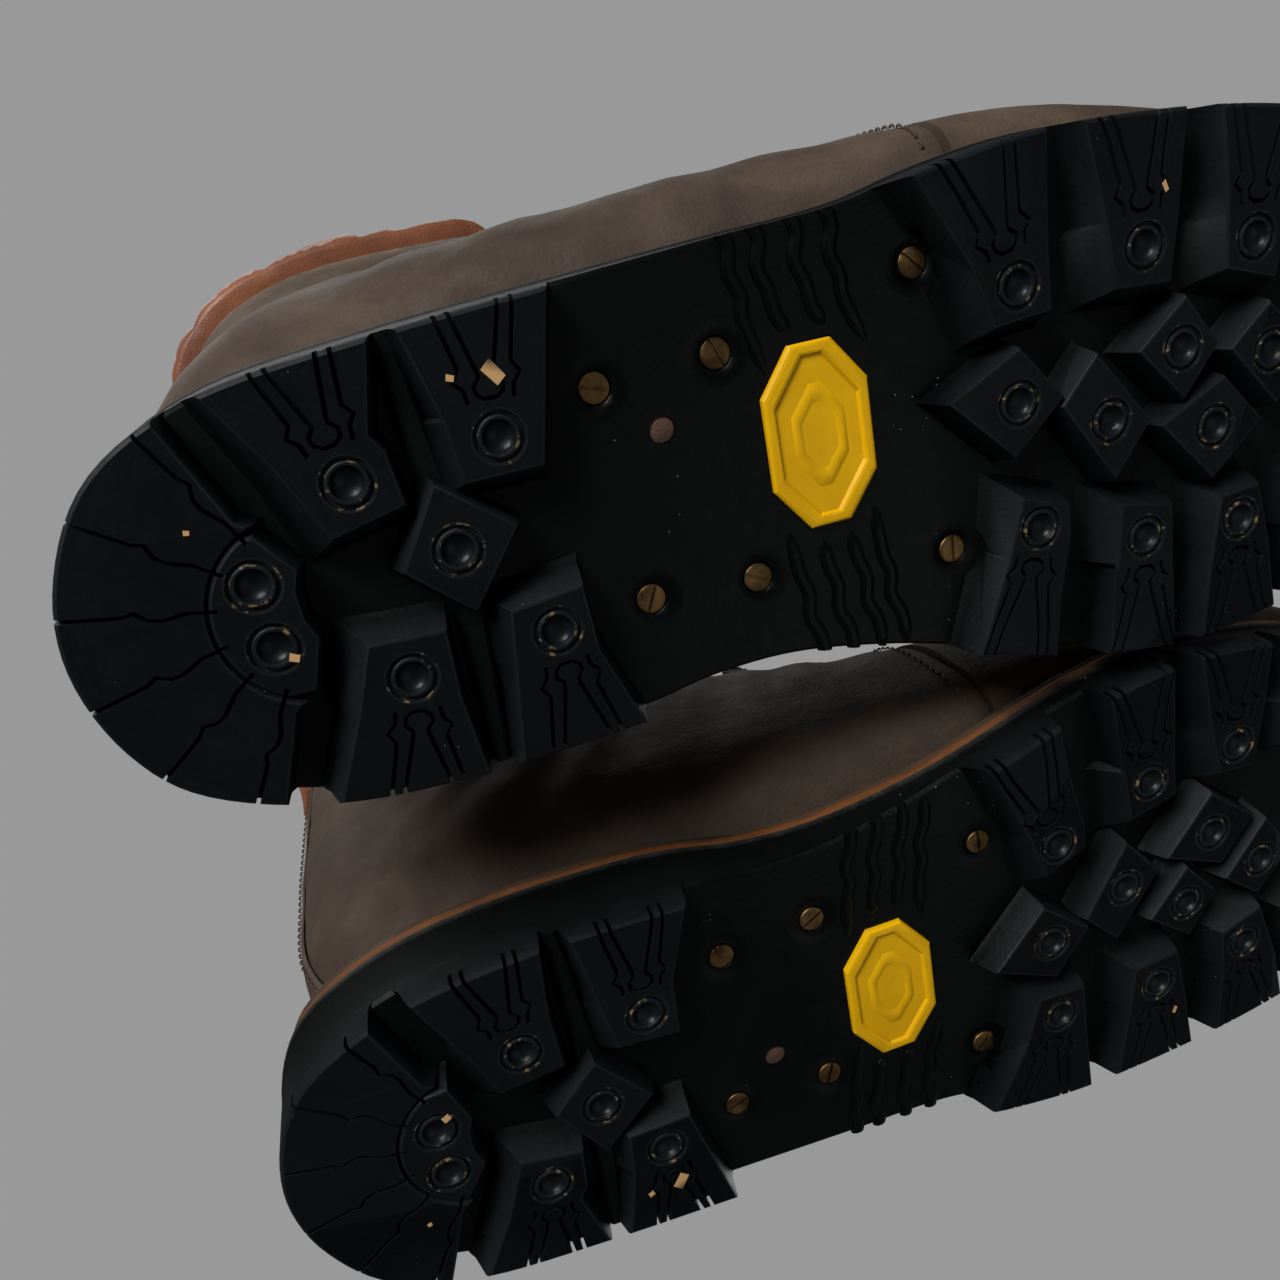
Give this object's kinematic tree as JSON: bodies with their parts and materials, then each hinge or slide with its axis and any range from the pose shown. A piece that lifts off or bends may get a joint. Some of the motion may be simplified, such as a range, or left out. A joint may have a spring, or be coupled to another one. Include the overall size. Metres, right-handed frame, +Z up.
{
  "type": "mountaineering boots",
  "caption": "Pair of full-leather lace-up mountaineering boots with padded collars, stitched welts and deep lugged rubber soles.",
  "frame": {"origin": "centre of the pair's footprint, on the ground plane under the treads", "axes": "+X from the heels to the toes, +Y from the right boot to the left boot, +Z up"},
  "size_m": [0.3148, 0.2488, 0.1909],
  "materials": {
    "rubber": "worn matte black lug rubber, dusty",
    "badge_plastic": "moulded ochre yellow, slightly worn",
    "screw_brass": "tarnished brass",
    "midsole_leather": "smooth edge-dyed sole leather",
    "welt_leather": "dark brown strip leather",
    "thread": "waxed linen thread",
    "cork": "ground cork",
    "shank_steel": "spring steel",
    "board": "leather board",
    "footbed_felt": "felt-topped insole",
    "upper_leather": "waxed dark brown full-grain leather, scuffed",
    "backstay_leather": "dark brown leather",
    "stiffener": "stiffened non-woven",
    "lining_leather": "undyed calf lining",
    "collar_leather": "soft reddish brown padded leather, creased",
    "foam": "foam padding",
    "tongue_leather": "padded brown leather",
    "lacing_steel": "nickelled steel, scratched",
    "lace_cord": "round woven cord"
  },
  "bodies": {
    "right_boot": {"right_outsole": "rubber", "right_sole_badge": "badge_plastic", "right_sole_screws": "screw_brass", "right_midsole": "midsole_leather", "right_welt": "welt_leather", "right_welt_stitching": "thread", "right_cork_filler": "cork", "right_shank": "shank_steel", "right_insole_board": "board", "right_footbed": "footbed_felt", "right_vamp": "upper_leather", "right_quarters": "upper_leather", "right_backstay": "backstay_leather", "right_toe_puff": "stiffener", "right_heel_counter": "stiffener", "right_vamp_lining": "lining_leather", "right_quarter_lining": "lining_leather", "right_collar": "collar_leather", "right_collar_foam": "foam", "right_lace_hooks": "lacing_steel", "right_ring_clips": "lacing_steel", "right_rivets": "lacing_steel", "right_lace": "lace_cord"},
    "right_tongue_body": {"right_tongue": "tongue_leather"},
    "right_ring_lower_outer_body": {"right_ring_lower_outer": "lacing_steel"},
    "right_ring_lower_inner_body": {"right_ring_lower_inner": "lacing_steel"},
    "right_ring_upper_outer_body": {"right_ring_upper_outer": "lacing_steel"},
    "right_ring_upper_inner_body": {"right_ring_upper_inner": "lacing_steel"},
    "left_boot": {"left_outsole": "rubber", "left_sole_badge": "badge_plastic", "left_sole_screws": "screw_brass", "left_midsole": "midsole_leather", "left_welt": "welt_leather", "left_welt_stitching": "thread", "left_cork_filler": "cork", "left_shank": "shank_steel", "left_insole_board": "board", "left_footbed": "footbed_felt", "left_vamp": "upper_leather", "left_quarters": "upper_leather", "left_backstay": "backstay_leather", "left_toe_puff": "stiffener", "left_heel_counter": "stiffener", "left_vamp_lining": "lining_leather", "left_quarter_lining": "lining_leather", "left_collar": "collar_leather", "left_collar_foam": "foam", "left_lace_hooks": "lacing_steel", "left_ring_clips": "lacing_steel", "left_rivets": "lacing_steel", "left_lace": "lace_cord"},
    "left_tongue_body": {"left_tongue": "tongue_leather"},
    "left_ring_lower_outer_body": {"left_ring_lower_outer": "lacing_steel"},
    "left_ring_lower_inner_body": {"left_ring_lower_inner": "lacing_steel"},
    "left_ring_upper_outer_body": {"left_ring_upper_outer": "lacing_steel"},
    "left_ring_upper_inner_body": {"left_ring_upper_inner": "lacing_steel"}
  },
  "joints": [
    {"name": "left_boot_slide", "type": "slide", "parent": "right_boot", "child": "left_boot", "axis": [0, 1, 0], "range_m": [0, 0.15]},
    {"name": "right_tongue_hinge", "type": "hinge", "parent": "right_boot", "child": "right_tongue_body", "pos_m": [0.02264, -0.059, 0.09379], "axis": [0, 1, 0], "range_deg": [-10, 0]},
    {"name": "right_ring_lower_outer_hinge", "type": "hinge", "parent": "right_boot", "child": "right_ring_lower_outer_body", "pos_m": [0.01739, -0.0863, 0.1052], "axis": [-0.8268, -0.0214, 0.5621], "range_deg": [-5, 5]},
    {"name": "right_ring_lower_inner_hinge", "type": "hinge", "parent": "right_boot", "child": "right_ring_lower_inner_body", "pos_m": [0.01696, -0.03108, 0.10282], "axis": [-0.8334, -0.0324, 0.5517], "range_deg": [-5, 5]},
    {"name": "right_ring_upper_outer_hinge", "type": "hinge", "parent": "right_boot", "child": "right_ring_upper_outer_body", "pos_m": [-0.00388, -0.08748, 0.12058], "axis": [-0.7935, -0.0349, 0.6075], "range_deg": [-5, 5]},
    {"name": "right_ring_upper_inner_hinge", "type": "hinge", "parent": "right_boot", "child": "right_ring_upper_inner_body", "pos_m": [-0.00528, -0.02962, 0.11712], "axis": [-0.8008, -0.0131, 0.5987], "range_deg": [-5, 5]},
    {"name": "left_tongue_hinge", "type": "hinge", "parent": "left_boot", "child": "left_tongue_body", "pos_m": [0.02264, 0.059, 0.09379], "axis": [0, 1, 0], "range_deg": [-10, 0]},
    {"name": "left_ring_lower_outer_hinge", "type": "hinge", "parent": "left_boot", "child": "left_ring_lower_outer_body", "pos_m": [0.01739, 0.0863, 0.1052], "axis": [-0.8268, 0.0214, 0.5621], "range_deg": [-5, 5]},
    {"name": "left_ring_lower_inner_hinge", "type": "hinge", "parent": "left_boot", "child": "left_ring_lower_inner_body", "pos_m": [0.01696, 0.03108, 0.10282], "axis": [-0.8334, 0.0324, 0.5517], "range_deg": [-5, 5]},
    {"name": "left_ring_upper_outer_hinge", "type": "hinge", "parent": "left_boot", "child": "left_ring_upper_outer_body", "pos_m": [-0.00388, 0.08748, 0.12058], "axis": [-0.7935, 0.0349, 0.6075], "range_deg": [-5, 5]},
    {"name": "left_ring_upper_inner_hinge", "type": "hinge", "parent": "left_boot", "child": "left_ring_upper_inner_body", "pos_m": [-0.00528, 0.02962, 0.11712], "axis": [-0.8008, 0.0131, 0.5987], "range_deg": [-5, 5]}
  ]
}
